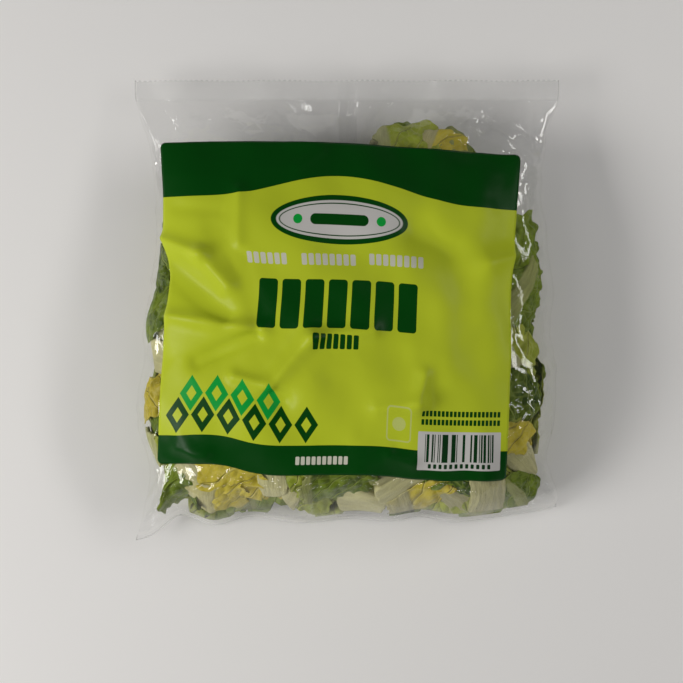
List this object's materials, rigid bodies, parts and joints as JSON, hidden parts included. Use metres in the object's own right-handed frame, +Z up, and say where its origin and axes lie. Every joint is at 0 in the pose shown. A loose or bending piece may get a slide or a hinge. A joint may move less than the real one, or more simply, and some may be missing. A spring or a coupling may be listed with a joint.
{
  "type": "bag of salad leaves",
  "caption": "Clear sealed film bag of chopped salad leaves with a wide printed label, lying flat on its back.",
  "frame": {"origin": "middle of the bag in plan, on the surface it lies on", "axes": "+X to the right of the label, +Y to the label's top and the top seal, +Z up, away from the resting patch"},
  "size_m": [0.204, 0.2218, 0.0614],
  "materials": {
    "clear_film": "gloss",
    "label_print": "satin"
  },
  "bodies": {
    "root": {"bag": "clear_film", "label": "label_print"}
  },
  "joints": []
}
